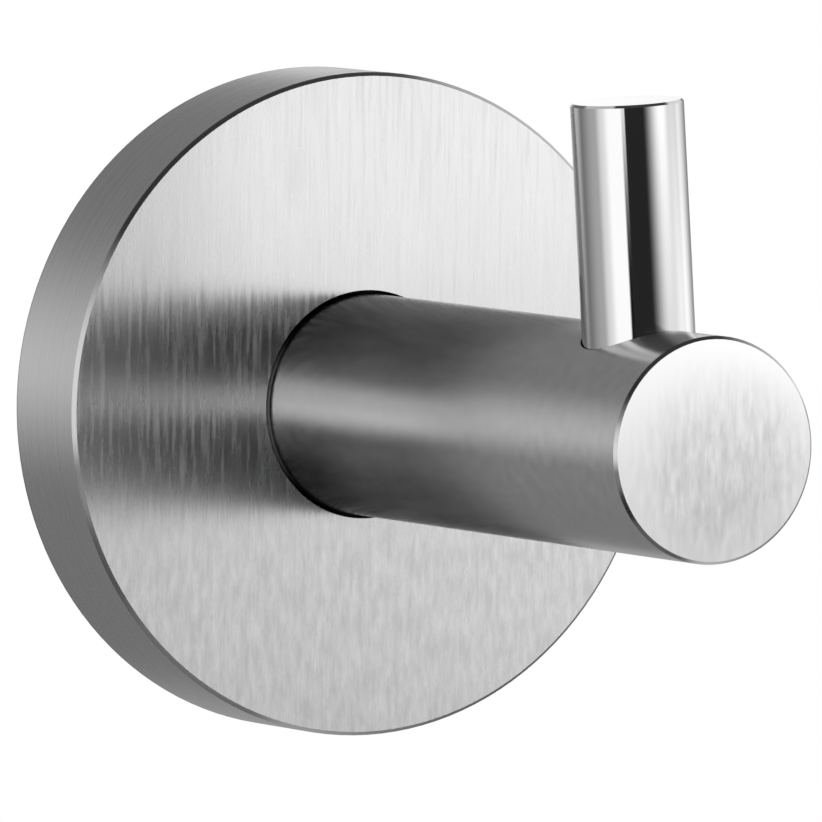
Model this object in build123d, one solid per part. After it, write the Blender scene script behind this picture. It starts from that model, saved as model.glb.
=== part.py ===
"""Round robe hook for a wall, in brushed and polished stainless steel, with a hidden fixing.

A turned flange carries a solid bar post, and a polished peg stands up near the post's free end.
Behind the flange a pressed steel bracket is screwed to the wall. The flange hooks over it and is
locked from below by a grub screw.

Millimetres. The wall is the plane Y = 0, the hook stands out along -Y, and Z is up. The origin is
the centre of the flange's back, on the post's axis.
"""

from build123d import *
from math import cos, radians, sqrt, tan
import os

# Flange, a cup turned from bar
flange_diameter = 54.0
flange_depth = 10.0
flange_face_wall = 3.0
flange_rim_wall = 3.0
flange_edge_break = 0.3
flange_lip_depth = 2.0
flange_lip_reach = 1.0

# Post, a length of round bar
post_diameter = 18.0
post_reach = 56.0
post_end_break = 0.25
post_foot_break = 0.2
post_seat_depth = 1.0
post_seat_gap = 0.3

# Peg, a polished pin with a threaded stud on its foot
peg_diameter = 9.0
peg_height = 18.0
peg_inset = 11.0
peg_top_break = 0.2
peg_seat_sink = 0.3
peg_stud_diameter = 6.0
peg_stud_length = 6.5
peg_stud_break = 0.6
peg_fit = 0.1

# Button-head screw and spring washer that hold the post from behind
post_screw_diameter = 5.0
post_screw_length = 12.0
post_screw_head_diameter = 9.5
post_screw_head_height = 2.75
post_screw_head_land = 5.0
post_screw_socket = 3.0
post_screw_socket_depth = 1.6
post_screw_tip_break = 0.6
post_screw_hole_gap = 0.25
washer_diameter = 9.2
washer_thickness = 1.2
washer_bore_gap = 0.15
washer_split = 0.7
washer_split_angle = 25.0

# Grub screw in the rim's underside
grub_diameter = 4.0
grub_sink = 0.2
grub_tip_break = 0.7
grub_outer_break = 0.3
grub_socket = 2.0
grub_socket_depth = 2.0

# Wall bracket, pressed from sheet with both ends stepped off the wall
bracket_sheet = 2.0
bracket_width = 20.0
bracket_bend_radius = 1.0
bracket_bend_angle = 45.0
bracket_hole_diameter = 4.8
bracket_hole_spacing = 20.0
bracket_screw_head_room = 9.0
bracket_middle_gap = 0.5
bracket_fit = 0.1
bracket_lip_gap = 0.2

# Clearance that stands in for a thread, and room past the end of each tapped hole
thread_clearance = 0.05
tapped_hole_room = 1.5
drill_point_angle = 118.0

# Places that follow from those sizes
flange_radius = flange_diameter / 2
face_y = -flange_depth
cavity_y = face_y + flange_face_wall
cavity_radius = flange_radius - flange_rim_wall
lip_radius = cavity_radius - flange_lip_reach

post_radius = post_diameter / 2
post_foot_y = face_y + post_seat_depth
post_end_y = face_y - post_reach

peg_radius = peg_diameter / 2
peg_y = post_end_y + peg_inset
peg_top_z = post_radius + peg_height
peg_seat_z = sqrt(post_radius**2 - peg_radius**2) - peg_seat_sink
peg_foot_z = peg_seat_z - peg_stud_length

post_screw_seat_y = cavity_y + washer_thickness
post_screw_tip_y = post_screw_seat_y - post_screw_length

bracket_top_radius = cavity_radius - bracket_fit
hooking_travel = bracket_top_radius - lip_radius + bracket_fit
bracket_foot_radius = lip_radius - hooking_travel - bracket_fit
bracket_step = flange_lip_depth + bracket_lip_gap
bracket_flat_half = (bracket_hole_spacing + bracket_screw_head_room) / 2
bracket_web_run = bracket_step / tan(radians(bracket_bend_angle))
bracket_flat_y = -bracket_sheet / 2
bracket_ends_y = bracket_flat_y - bracket_step

grub_y = bracket_ends_y
grub_outer_z = -(flange_radius - grub_sink)
grub_tip_z = -bracket_foot_radius

POST_AXIS = Axis.Y
PEG_AXIS = Axis((0, peg_y, 0), (0, 0, 1))
GRUB_AXIS = Axis((0, grub_y, 0), (0, 0, 1))


def turned(profile, plane, axis):
    """A solid of revolution from a closed outline of (radius, height) points on a plane."""
    return revolve(plane * make_face(Polyline(*profile, close=True)), axis)


def tapped_hole(diameter, mouth, depth):
    """A drilled hole along +Z of a plane, `depth` deep to its shoulder, with a drill's conical floor."""
    radius = diameter / 2 + thread_clearance
    point = radius / tan(radians(drill_point_angle / 2))
    outline = [(0, 0), (radius, 0), (radius, depth), (0, depth + point)]
    hole = revolve(Plane.XZ * make_face(Polyline(*outline, close=True)), Axis.Z)
    return mouth * hole


def hex_socket(across_flats, depth, mouth):
    """A hexagon key socket sunk along +Z of a plane."""
    corner_radius = across_flats / 2 / cos(radians(30))
    return mouth * extrude(RegularPolygon(corner_radius, 6), depth)


def make_flange():
    """Turned cup: brushed face, recess for the post, and a lip inside that hooks on the bracket."""
    seat_radius = post_radius + post_seat_gap
    screw_hole_radius = post_screw_diameter / 2 + post_screw_hole_gap
    outline = [
        (lip_radius, 0),
        (flange_radius - flange_edge_break, 0),
        (flange_radius, -flange_edge_break),
        (flange_radius, face_y + flange_edge_break),
        (flange_radius - flange_edge_break, face_y),
        (seat_radius, face_y),
        (seat_radius, post_foot_y),
        (screw_hole_radius, post_foot_y),
        (screw_hole_radius, cavity_y),
        (cavity_radius, cavity_y),
        (cavity_radius, -flange_lip_depth),
        (lip_radius, -flange_lip_depth),
    ]
    cup = turned(outline, Plane.XY, POST_AXIS)
    grub_hole = Cylinder(
        grub_diameter / 2 + thread_clearance,
        flange_radius - bracket_foot_radius,
        align=(Align.CENTER, Align.CENTER, Align.MIN),
    )
    return cup - Pos(0, grub_y, -flange_radius) * grub_hole


def make_post():
    """Solid bar, tapped at its foot for the screw and spot-faced and tapped on top for the peg."""
    outline = [
        (0, post_foot_y),
        (post_radius - post_foot_break, post_foot_y),
        (post_radius, post_foot_y - post_foot_break),
        (post_radius, post_end_y + post_end_break),
        (post_radius - post_end_break, post_end_y),
        (0, post_end_y),
    ]
    bar = turned(outline, Plane.XY, POST_AXIS)
    foot = Plane(origin=(0, post_foot_y, 0), z_dir=(0, -1, 0))
    bar -= tapped_hole(post_screw_diameter, foot, post_foot_y - post_screw_tip_y + tapped_hole_room)
    seat = Plane(origin=(0, peg_y, peg_seat_z), z_dir=(0, 0, -1))
    bar -= tapped_hole(peg_stud_diameter, seat, peg_stud_length + tapped_hole_room)
    spot_face = Cylinder(
        peg_radius + peg_fit, post_radius, align=(Align.CENTER, Align.CENTER, Align.MIN)
    )
    return bar - Pos(0, peg_y, peg_seat_z) * spot_face


def make_peg():
    """Polished pin whose threaded stud screws down into the post."""
    stud_radius = peg_stud_diameter / 2
    outline = [
        (0, peg_foot_z),
        (stud_radius - peg_stud_break, peg_foot_z),
        (stud_radius, peg_foot_z + peg_stud_break),
        (stud_radius, peg_seat_z),
        (peg_radius, peg_seat_z),
        (peg_radius, peg_top_z - peg_top_break),
        (peg_radius - peg_top_break, peg_top_z),
        (0, peg_top_z),
    ]
    upright = Plane(origin=(0, peg_y, 0), x_dir=(1, 0, 0), z_dir=(0, -1, 0))
    return turned(outline, upright, PEG_AXIS)


def make_post_screw():
    """Button-head socket screw that pulls the post into its recess from inside the flange."""
    shank_radius = post_screw_diameter / 2
    head_radius = post_screw_head_diameter / 2
    land_radius = post_screw_head_land / 2
    crown_y = post_screw_seat_y + post_screw_head_height
    tip = [
        (head_radius, post_screw_seat_y),
        (shank_radius, post_screw_seat_y),
        (shank_radius, post_screw_tip_y + post_screw_tip_break),
        (shank_radius - post_screw_tip_break, post_screw_tip_y),
        (0, post_screw_tip_y),
        (0, crown_y),
        (land_radius, crown_y),
    ]
    sink = (head_radius**2 - land_radius**2 - post_screw_head_height**2) / (2 * post_screw_head_height)
    dome_radius = sqrt(head_radius**2 + sink**2)
    dome = RadiusArc((land_radius, crown_y), (head_radius, post_screw_seat_y), dome_radius)
    screw = revolve(make_face([Polyline(*tip), dome]), POST_AXIS)
    crown = Plane(origin=(0, crown_y, 0), z_dir=(0, -1, 0))
    return screw - hex_socket(post_screw_socket, post_screw_socket_depth, crown)


def make_spring_washer():
    """Split washer, pressed flat under the screw's head."""
    bore_radius = post_screw_diameter / 2 + washer_bore_gap
    ring = Circle(washer_diameter / 2) - Circle(bore_radius)
    washer = extrude(Plane(origin=(0, cavity_y, 0), z_dir=(0, 1, 0)) * ring, washer_thickness)
    slit = Box(
        washer_split,
        washer_thickness / cos(radians(washer_split_angle)) + 2 * washer_split,
        washer_diameter,
        align=(Align.CENTER, Align.CENTER, Align.MIN),
    )
    middle_y = cavity_y + washer_thickness / 2
    return washer - Pos(0, middle_y, 0) * Rot(0, 0, washer_split_angle) * slit


def make_wall_bracket():
    """Pressed strap: flat on the wall between its screw holes, stepped off it at both ends."""
    ends_z = bracket_flat_half + bracket_web_run
    middle_of_sheet = FilletPolyline(
        (bracket_ends_y, -cavity_radius),
        (bracket_ends_y, -ends_z),
        (bracket_flat_y, -bracket_flat_half),
        (bracket_flat_y, bracket_flat_half),
        (bracket_ends_y, ends_z),
        (bracket_ends_y, cavity_radius),
        radius=bracket_bend_radius + bracket_sheet / 2,
    )
    strip = Plane.YZ * trace(middle_of_sheet, bracket_sheet)
    strap = extrude(strip, bracket_width / 2, both=True)

    # Rounded ends: the top reaches behind the lip, the foot stops short of it
    upper_half = Rectangle(flange_diameter, cavity_radius, align=(Align.CENTER, Align.MIN))
    blank = (Circle(bracket_top_radius) & upper_half) + Circle(bracket_foot_radius)
    hole = Circle(bracket_hole_diameter / 2)
    blank -= [Pos(0, z) * hole for z in (-bracket_hole_spacing / 2, bracket_hole_spacing / 2)]
    blank -= Circle(post_screw_head_diameter / 2 + bracket_middle_gap)
    return strap & extrude(Plane.XZ * blank, flange_depth, both=True)


def make_grub_screw():
    """Socket grub screw: its socket opens downwards and its tip bears on the bracket's foot."""
    radius = grub_diameter / 2
    outline = [
        (0, grub_outer_z),
        (radius - grub_outer_break, grub_outer_z),
        (radius, grub_outer_z + grub_outer_break),
        (radius, grub_tip_z - grub_tip_break),
        (radius - grub_tip_break, grub_tip_z),
        (0, grub_tip_z),
    ]
    upright = Plane(origin=(0, grub_y, 0), x_dir=(1, 0, 0), z_dir=(0, -1, 0))
    screw = turned(outline, upright, GRUB_AXIS)
    mouth = Plane(origin=(0, grub_y, grub_outer_z), z_dir=(0, 0, 1))
    return screw - hex_socket(grub_socket, grub_socket_depth, mouth)


PIECES = {
    "flange": make_flange,
    "post": make_post,
    "peg": make_peg,
    "post_screw": make_post_screw,
    "spring_washer": make_spring_washer,
    "wall_bracket": make_wall_bracket,
    "grub_screw": make_grub_screw,
}

os.makedirs("parts", exist_ok=True)
for name, make in PIECES.items():
    export_step(make(), f"parts/{name}.step")
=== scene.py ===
import bpy
from math import cos, pi, radians, sin
from mathutils import Matrix, Vector


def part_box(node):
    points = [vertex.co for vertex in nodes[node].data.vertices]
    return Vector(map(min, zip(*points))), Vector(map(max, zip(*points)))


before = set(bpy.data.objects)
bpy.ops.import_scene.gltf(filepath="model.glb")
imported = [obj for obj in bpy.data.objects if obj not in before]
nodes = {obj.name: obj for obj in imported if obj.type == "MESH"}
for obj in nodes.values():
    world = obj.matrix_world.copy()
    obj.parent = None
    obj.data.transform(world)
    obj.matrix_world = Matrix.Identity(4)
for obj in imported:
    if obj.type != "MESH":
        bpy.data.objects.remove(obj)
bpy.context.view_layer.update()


# Wall bracket
# A strap of 2 mm steel sheet, blanked and stepped in a press, then zinc plated. Two screws hold its
# flat to the wall, and its stepped top end hooks behind the lip inside the flange.

class Value:
    """One value in a material's shader. A sum of values adds the Math nodes that work it out."""

    def __init__(self, tree, socket=None):
        self.tree = tree
        self.socket = socket

    def node(self, kind, inputs=None, output=0, **settings):
        """Adds a node with these inputs and settings, and returns one of its outputs."""
        made = self.tree.nodes.new(kind)
        for name, setting in settings.items():
            setattr(made, name, setting)
        for name, value in (inputs or {}).items():
            if isinstance(value, Value):
                self.tree.links.new(value.socket, made.inputs[name])
            else:
                made.inputs[name].default_value = value
        return Value(self.tree, made.outputs[output] if made.outputs else None)

    def math(self, operation, first, second=0.0):
        return self.node("ShaderNodeMath", {0: first, 1: second}, operation=operation)

    def __add__(self, other):
        return self.math("ADD", self, other)

    def __sub__(self, other):
        return self.math("SUBTRACT", self, other)

    def __rsub__(self, other):
        return self.math("SUBTRACT", other, self)

    def __mul__(self, other):
        return self.math("MULTIPLY", self, other)

    __radd__ = __add__
    __rmul__ = __mul__

    def between(self, low, high):
        """0 below low, 1 above high, and a smooth step between them."""
        inputs = {"Value": self, "From Min": low, "From Max": high}
        return self.node("ShaderNodeMapRange", inputs, interpolation_type="SMOOTHSTEP")


def new_material(name):
    """An empty material and the object coordinates in it."""
    material = bpy.data.materials.new(name)
    material.use_nodes = True
    material.node_tree.nodes.clear()
    return material, Value(material.node_tree).node("ShaderNodeTexCoord", output="Object")


def along(vector, axis):
    """One coordinate of a place or a direction."""
    return vector.node("ShaderNodeSeparateXYZ", {0: vector}, axis)


def facing(place, axis):
    """1 where the surface faces along an axis, 0 where it faces across it, 0.7 halfway."""
    return place.math("ABSOLUTE", along(place.node("ShaderNodeTexCoord", output="Normal"), axis))


def grain(place, scale, detail, roughness=0.55, turn=0.0):
    """Noise from 0 to 1 with its own scale along X, Y and Z, in cells per metre, turned about Y."""
    turned = place.node("ShaderNodeMapping", {"Vector": place, "Rotation": (0.0, radians(turn), 0.0)})
    stretched = place.node("ShaderNodeMapping", {"Vector": turned, "Scale": scale})
    inputs = {"Vector": stretched, "Scale": 1.0, "Detail": detail, "Roughness": roughness}
    return place.node("ShaderNodeTexNoise", inputs)


def blend(share, first, second):
    """A colour that goes from the first to the second as the share goes from 0 to 1."""
    return share.node("ShaderNodeMix", {0: share, 6: first, 7: second}, 2, data_type="RGBA")


def metal(colour, roughness, normal=None, anisotropy=0.0, metallic=1.0):
    """A bare metal surface. A little less than fully metallic gives a white haze."""
    inputs = {
        "Base Color": colour,
        "Roughness": roughness,
        "Metallic": metallic,
        "Anisotropic": anisotropy,
    }
    if normal:
        inputs["Normal"] = normal
    return colour.node("ShaderNodeBsdfPrincipled", inputs)


def close(surface):
    """Ends a material with its surface."""
    surface.node("ShaderNodeOutputMaterial", {"Surface": surface})


def dress(name, material, surface):
    """Ends a material and puts it on one of the hook's pieces."""
    close(surface)
    nodes[name].material_slots[0].material = material


zinc_dark = (0.44, 0.46, 0.50, 1.0)
zinc_light = (0.76, 0.77, 0.78, 1.0)
zinc_relief = 0.00004

zinc, place = new_material("zinc_plate")
spangle = grain(place, (420, 420, 420), 4.0)
rolled = grain(place, (5200, 900, 90), 2.0)
sheared = facing(place, "X").between(0.5, 0.8)
shear_marks = grain(place, (300, 300, 5000), 2.0)
zinc_tone = 1.6 * spangle + 0.6 * rolled + sheared * (0.8 * shear_marks - 0.2) - 0.6
zinc_colour = blend(zinc_tone, zinc_dark, zinc_light)
zinc_bumps = {"Strength": 0.25, "Distance": zinc_relief, "Height": spangle + rolled}
zinc_normal = place.node("ShaderNodeBump", zinc_bumps)
zinc_roughness = 0.26 + 0.16 * spangle + 0.08 * rolled
dress("wall_bracket", zinc, metal(zinc_colour, zinc_roughness, zinc_normal))


# Flange
# A round cup turned from stainless bar. Its face is brushed straight up and down, its rim is left
# with the fine rings of the lathe, and a shallow seat in the middle takes the foot of the post.

face_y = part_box("flange")[0].y
face_slack = 0.00002
seat_radius = 0.00935
bore_radius = 0.0266
bore_relief = 0.00006
wall_line_depth = (-0.0005, -0.0003)
lit_reach = (0.006, 0.009)
scuffed_drop = (0.002, 0.014)
brush_turn = -4.2
# The face leans by a degree or so and is slightly crowned, which sets where it mirrors the post
face_turn = -0.028
face_tip = 0.022
face_crown = 0.5


def grey(tone):
    return (tone, tone, tone, 1.0)


def greys(share, dark, light):
    """A grey that goes from dark to light as the share goes from 0 to 1."""
    return blend(share, grey(dark), grey(light))


def sway(marks, amount):
    """Marks from 0 to 1 swung to both sides of zero, by this amount in all."""
    return amount * (marks - 0.5)


def from_axis(place):
    """The distance from the post's axis."""
    x = along(place, "X")
    z = along(place, "Z")
    return place.math("SQRT", x * x + z * z)


def sunk(place):
    """1 behind the flange's face and 0 on it and in front of it."""
    return place.math("GREATER_THAN", along(place, "Y"), face_y + face_slack)


def on_flat(place):
    """1 on the flats that face along the post and 0 round the sides."""
    return facing(place, "Y").between(0.8, 0.95)


def on_broken_edge(place):
    """1 on a broken edge, between a flat and a side, and 0 on both of these."""
    return facing(place, "Y").between(0.4, 0.6) * (1 - facing(place, "Y").between(0.8, 0.9))


def on_lit_side(place):
    """1 at the post's left, where the painted shade in the gap round its foot is lightened by painted
    light, and 0 elsewhere.
    """
    return (0 - along(place, "X")).between(*lit_reach)


def painted_seat_shade(place):
    """Painted shade: near black in the gaps round the post's foot and the peg's foot, lightened by
    painted light at the post's left.
    """
    return greys(on_lit_side(place), 0.02, 0.6)


def lathe_marks(place, pitch):
    """Fine rings round the post's axis, on the flats as well as the sides, in rings per metre."""
    inputs = {"X": from_axis(place), "Y": along(place, "Y"), "Z": along(place, "X")}
    return grain(place.node("ShaderNodeCombineXYZ", inputs), (pitch, pitch, 60), 2.0)


def lean(place, sideways, forward, upward):
    """The surface's normal, tipped a little along X, Y and Z as tool marks tip it."""
    tip = place.node("ShaderNodeCombineXYZ", {"X": sideways, "Y": forward, "Z": upward})
    flat = place.node("ShaderNodeNewGeometry", output="Normal")
    tipped = place.node("ShaderNodeVectorMath", {0: flat, 1: tip}, operation="ADD")
    return place.node("ShaderNodeVectorMath", {0: tipped}, operation="NORMALIZE")


def parted(share, first, second):
    """Two finishes on one piece: the first where the share is 0, the second where it is 1."""
    return share.node("ShaderNodeMixShader", {0: share, 1: first, 2: second})


brushed, place = new_material("brushed_stainless")

# The brushed face: lines of two widths, broken here and there, with short scuffs lower down
hairlines = grain(place, (5000, 200, 110), 2.0, turn=brush_turn)
strokes = grain(place, (2400, 200, 130), 2.0, 0.6, brush_turn)
breaks = grain(place, (1100, 200, 230), 1.0, turn=brush_turn)
patches = grain(place, (170, 200, 60), 2.0)
brush_lines = 0.4 * hairlines + 0.6 * strokes
scratches = strokes.between(0.40, 0.78) * (0.3 + 0.7 * breaks.between(0.25, 0.75))
scuffed = (0 - along(place, "Z")).between(*scuffed_drop)
scuffs = grain(place, (1500, 200, 420), 3.0, 0.6, brush_turn)
face_tone = 0.9 * brush_lines + 0.4 * breaks + 0.5 * patches + sway(scuffs, 3.0 * scuffed)
face_colour = greys(face_tone - 0.4, 0.78, 0.95)
face_sideways = face_turn + sway(hairlines, 0.03)
face_upward = face_tip + face_crown * along(place, "Z") + sway(strokes, 0.04)
face_normal = lean(place, face_sideways, 0.0, face_upward)
face_roughness = 0.22 + 0.08 * brush_lines + 0.06 * scratches
face_finish = metal(face_colour, face_roughness, face_normal, 0.9, 0.99 - 0.14 * scratches)

# The turned rim and bore: duller broken edges, and a dark line along the wall
rings = lathe_marks(place, 4200)
edge = on_broken_edge(place)
in_seat = place.math("LESS_THAN", from_axis(place), seat_radius) * sunk(place)
wall_line = along(place, "Y").between(*wall_line_depth) * (1 - facing(place, "Y").between(0.3, 0.6))
rim_colour = greys(rings, 0.70, 0.82)
rim_colour = blend(edge, rim_colour, greys(rings, 0.42, 0.50))
rim_colour = blend(wall_line, rim_colour, greys(rings, 0.28, 0.36))
# Painted shade in the seat round the post's foot, lightened by painted light at its left
rim_colour = blend(in_seat, rim_colour, painted_seat_shade(place))
bored = place.math("LESS_THAN", from_axis(place), bore_radius)
bore_bumps = {"Strength": 0.6, "Distance": bore_relief, "Height": bored * lathe_marks(place, 1100)}
bore_bumps["Normal"] = lean(place, 0.0, sway(rings, 0.06), 0.0)
rim_normal = place.node("ShaderNodeBump", bore_bumps)
rim_roughness = 0.2 + 0.12 * (1 - edge) * rings + 0.3 * in_seat
rim_finish = metal(rim_colour, rim_roughness, rim_normal)

on_face = on_flat(place) * (1 - sunk(place))
dress("flange", brushed, parted(on_face, rim_finish, face_finish))


# Post
# A length of round stainless bar with a fine satin turned finish. Its end face is brushed up and
# down like the flange, and a screw from behind pulls its foot into the flange's seat.

end_tip = 0.028
end_crown = 2.0
smudge_shift = (-0.001, 0.0, 0.002)
smudge_reach = (0.003, 0.011)
peg_seat_reach = 0.00012
dulled_reach = (0.030, 0.052)
# Where painted shade darkens the post near its foot, underneath and a little on top
foot_shade_reach = (face_y - 0.014, face_y - 0.003)
foot_shade_below = (0.0005, 0.004)
foot_shade_above = (0.003, 0.0055)

satin, place = new_material("satin_bar")

# The end face: clean and bright round the outside, with a smudge near its middle
strokes = grain(place, (1500, 200, 380), 3.0, 0.6, brush_turn)
smudge = place.node("ShaderNodeMapping", {"Vector": place, "Location": smudge_shift})
clean = from_axis(smudge).between(*smudge_reach)
worn = sway(strokes, 1.5 - 1.2 * clean)
end_colour = greys(worn + 0.7 * clean + 0.2, 0.64, 0.89)
end_normal = lean(place, 0.0, 0.0, end_tip + end_crown * along(place, "Z") + 0.04 * worn)
end_finish = metal(end_colour, 0.14 + 0.1 * strokes, end_normal, 0.6, 0.97)

# The side: painted shade darkens it near its foot, most of all underneath, and it is dulled by hands
# towards the end
rings = lathe_marks(place, 4500)
clouds = grain(place, (900, 900, 900), 1.0)
edge = on_broken_edge(place)
peg_low, peg_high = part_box("peg")
past_peg = along(place, "Y") - 0.5 * (peg_low.y + peg_high.y)
beside_peg = along(place, "X")
from_peg = place.math("SQRT", beside_peg * beside_peg + past_peg * past_peg)
in_peg_seat = place.math("LESS_THAN", from_peg, peg_high.x + peg_seat_reach)
in_peg_seat = in_peg_seat * place.math("GREATER_THAN", along(place, "Z"), 0.0)
in_seat = place.math("MAXIMUM", sunk(place), in_peg_seat)
below = (0 - along(place, "Z")).between(*foot_shade_below)
above = along(place, "Z").between(*foot_shade_above)
foot_shade = along(place, "Y").between(*foot_shade_reach) * (below + 0.6 * above)
dulled = (0 - along(place, "Y")).between(*dulled_reach) * (1 - edge)
side_colour = greys(0.3 * rings + 0.7 * clouds, 0.66, 0.78)
side_colour = blend(edge, side_colour, greys(clouds, 0.46, 0.54))
# Painted shade near the foot, strongest on the underside
side_colour = blend(foot_shade, side_colour, greys(clouds, 0.24, 0.32))
# Painted shade in the gaps round the post's foot and the peg's foot, lightened by painted light at
# the left
side_colour = blend(in_seat, side_colour, painted_seat_shade(place))
side_normal = lean(place, 0.0, sway(clouds, 0.012), sway(clouds, 0.012))
side_roughness = 0.17 + 0.08 * clouds + 0.3 * in_seat
# Less metallic at the left of the foot's gap, which lightens its painted shade there
side_metallic = 1 - 0.07 * dulled - 0.3 * in_seat * on_lit_side(place)
side_finish = metal(side_colour, side_roughness, side_normal, 0.3, side_metallic)

dress("post", satin, parted(on_flat(place), side_finish, end_finish))


# Peg
# A slim stainless pin, mirror polished. A threaded stud on its foot screws down into the post.

polished, place = new_material("polished_steel")
smears = grain(place, (160, 160, 60), 4.0)
dress("peg", polished, metal(greys(smears, 0.63, 0.70), 0.025 + 0.05 * smears))


# Post screw and spring washer
# A stainless button-head socket screw with a split washer of spring steel under its head. It is
# driven from inside the flange, before the hook goes on the wall.

spring_dark = (0.26, 0.26, 0.27, 1.0)
spring_light = (0.42, 0.41, 0.40, 1.0)

bright, place = new_material("bright_steel")
turning = grain(place, (900, 6000, 900), 2.0)
dress("post_screw", bright, metal(greys(turning, 0.52, 0.66), 0.24 + 0.14 * turning))

spring, place = new_material("spring_steel")
scale_marks = grain(place, (900, 900, 900), 4.0)
spring_colour = blend(scale_marks, spring_dark, spring_light)
dress("spring_washer", spring, metal(spring_colour, 0.34 + 0.2 * scale_marks))


# Grub screw
# A stainless socket grub screw in the underside of the rim. Turned with a key from below, it bears
# on the bracket's foot and locks the flange to the wall.

nodes["grub_screw"].material_slots[0].material = bright


# Studio
# A pale floor well below the hook, white all round, and a drum of paper panels close about it. The
# drum shows only in the metal: bright panels level with the hook, dim ones high up and low down, and
# dark gaps between them, the widest on the camera's side.

hook_middle = Vector((0.0, -0.035, 0.0))
floor_drop = 0.65
floor_radius = 1.2
drum_radius = 0.4
drum_half_height = 0.6
gap_tone = 0.008

bpy.ops.object.select_all(action="DESELECT")
bpy.ops.mesh.primitive_circle_add(
    vertices=96, radius=floor_radius, fill_type="NGON", location=(0.0, 0.0, -floor_drop)
)
floor = bpy.context.object
floor.name = "floor"
pale, place = new_material("pale_floor")
close(place.node("ShaderNodeBsdfPrincipled", {"Base Color": grey(0.94), "Roughness": 0.9}))
floor.data.materials.append(pale)

bpy.ops.mesh.primitive_cylinder_add(
    vertices=96, radius=drum_radius, depth=2 * drum_half_height, location=hook_middle
)
drum = bpy.context.object
drum.name = "panel_drum"
drum.visible_camera = False
drum.visible_diffuse = False
drum.visible_transmission = False
drum.visible_volume_scatter = False
drum.visible_shadow = False

paper, place = new_material("paper_panels")
height = along(place, "Z")
bearing = place.math("ARCTAN2", along(place, "X"), 0 - along(place, "Y")) * (180 / pi)
turned_away = place.math("ABSOLUTE", bearing)
no_edge = (400, 500)


def panel(tone, turned, left, right, bottom, top):
    """One paper panel. Each edge fades between two bearings in degrees or two heights in metres."""
    across = turned.between(*left) * (1 - turned.between(*right))
    return tone * across * height.between(*bottom) * (1 - height.between(*top))


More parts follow.
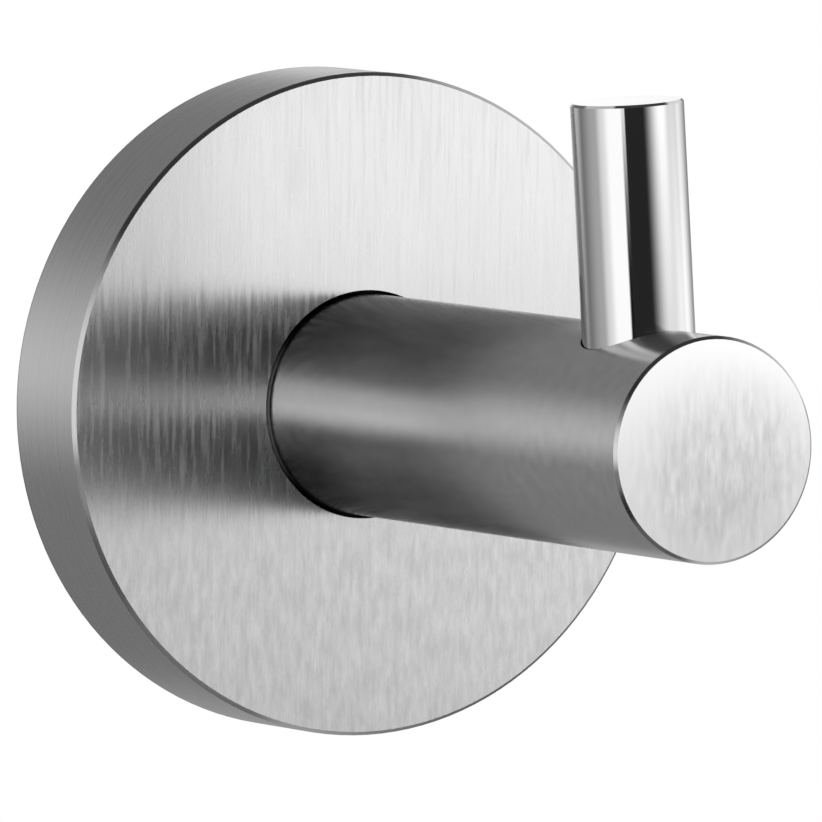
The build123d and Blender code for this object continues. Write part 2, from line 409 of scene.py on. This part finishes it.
panels = (
    # Left of the camera, for the light band along the post, the peg's left and the rim
    (1.45, bearing, (-60, -52), (-35.5, -33.5), (-0.022, 0.002), (0.02, 0.046)),
    (1.45, bearing, (-60, -52), (-43, -39), (-0.05, -0.036), (-0.022, 0.002)),
    (1.05, bearing, (-60, -52), (-35.5, -33.5), (0.02, 0.046), (0.088, 0.158)),
    (1.45, bearing, (-100, -66), (-60, -52), (-0.10, -0.05), (0.08, 0.42)),
    (0.34, bearing, (-80, -70), (-52, -44), (-0.22, -0.18), (-0.12, -0.09)),
    (1.20, bearing, (-140, -128), (-80, -66), (-0.8, -0.7), (-0.14, -0.09)),
    (0.60, bearing, (-138, -126), (-100, -85), (0.0, 0.05), (0.38, 0.45)),
    # Before the hook, barely lit
    (0.018, bearing, (-36, -34), (5, 40), (-0.055, -0.035), (0.0, 0.02)),
    (0.22, bearing, (-4, 3), (10, 20), (-0.15, -0.11), (-0.075, -0.05)),
    # Right of the camera, for the flange's face, the post's end and the peg's right
    (0.66, bearing, (0, 38), (42, 58), (-0.04, 0.008), (0.02, 0.08)),
    (1.00, bearing, (0, 38), (65, 125), (-0.125, -0.065), (0.02, 0.08)),
    (0.34, bearing, (45, 70), (75, 125), (-0.10, -0.06), (-0.03, 0.0)),
    (0.20, bearing, (0, 38), (65, 125), (0.02, 0.08), (0.2, 0.35)),
    (0.75, bearing, (85, 100), (120, 135), (0.0, 0.05), (0.38, 0.45)),
    (0.80, bearing, (55, 80), (98, 112), (-0.8, -0.7), (-0.15, -0.10)),
    (0.60, bearing, (120, 130), (140, 152), (-0.3, -0.2), (-0.06, -0.02)),
    # At the wall's side, for the post's upper and lower sides
    (0.36, turned_away, (74, 88), (100, 150), (-0.14, -0.03), (0.01, 0.21)),
    (0.58, turned_away, (135, 155), no_edge, (-0.10, 0.04), (0.01, 0.21)),
    (0.165, turned_away, (80, 92), no_edge, (-0.5, -0.4), (0.4, 0.5)),
    (0.20, bearing, (140, 150), (165, 175), (-0.22, -0.16), (-0.05, 0.0)),
    (0.60, bearing, (138, 142), (160, 164), (0.056, 0.062), (0.082, 0.088)),
    # High up and low down, all round and at the wall's side
    (0.05, turned_away, (-20, -10), no_edge, (0.36, 0.5), (0.7, 0.8)),
    (0.14, turned_away, (-20, -10), no_edge, (-0.9, -0.8), (-0.5, -0.4)),
    (0.60, turned_away, (95, 110), no_edge, (0.36, 0.46), (0.7, 0.8)),
    (0.50, turned_away, (125, 140), no_edge, (-0.8, -0.7), (-0.46, -0.36)),
)
tone = gap_tone
for sheet in panels:
    tone = tone + panel(*sheet)
close(place.node("ShaderNodeEmission", {"Color": tone, "Strength": 1.0}))
drum.data.materials.append(paper)

world = bpy.data.worlds.new("white_room")
world.use_nodes = True
world.node_tree.nodes["Background"].inputs["Color"].default_value = grey(1.0)
world.node_tree.nodes["Background"].inputs["Strength"].default_value = 1.0
bpy.context.scene.world = world
bpy.context.scene.view_settings.view_transform = "Standard"


# Camera
# A long lens to the hook's left and a little above it, rolled as in the photograph. The middle of
# the flange's face lands on the pixel named here, in a frame of 822 by 822.

picture_side = 822
face_pixel = (366.36, 404.28)
focal_pixels = 17064.4
camera_distance = 1.38585
bearing_angle = radians(-29.017)
height_angle = radians(5.93)
roll_angle = radians(-2.961)

face_middle = Vector((0.0, face_y, 0.0))
back = Vector((
    sin(bearing_angle) * cos(height_angle),
    -cos(bearing_angle) * cos(height_angle),
    sin(height_angle),
))
level_right = Vector((0.0, 0.0, 1.0)).cross(back).normalized()
level_up = back.cross(level_right)
right = cos(roll_angle) * level_right + sin(roll_angle) * level_up
up = cos(roll_angle) * level_up - sin(roll_angle) * level_right
metres_per_pixel = camera_distance / focal_pixels
aside = (face_pixel[0] - picture_side / 2) * metres_per_pixel
raised = (picture_side / 2 - face_pixel[1]) * metres_per_pixel

camera = bpy.data.objects.new("camera", bpy.data.cameras.new("long_lens"))
bpy.context.scene.collection.objects.link(camera)
camera.data.sensor_width = 36.0
camera.data.lens = camera.data.sensor_width * focal_pixels / picture_side
camera_turn = Matrix((right, up, back)).transposed().to_4x4()
camera_place = face_middle - aside * right - raised * up + camera_distance * back
camera.matrix_world = Matrix.Translation(camera_place) @ camera_turn
bpy.context.scene.camera = camera
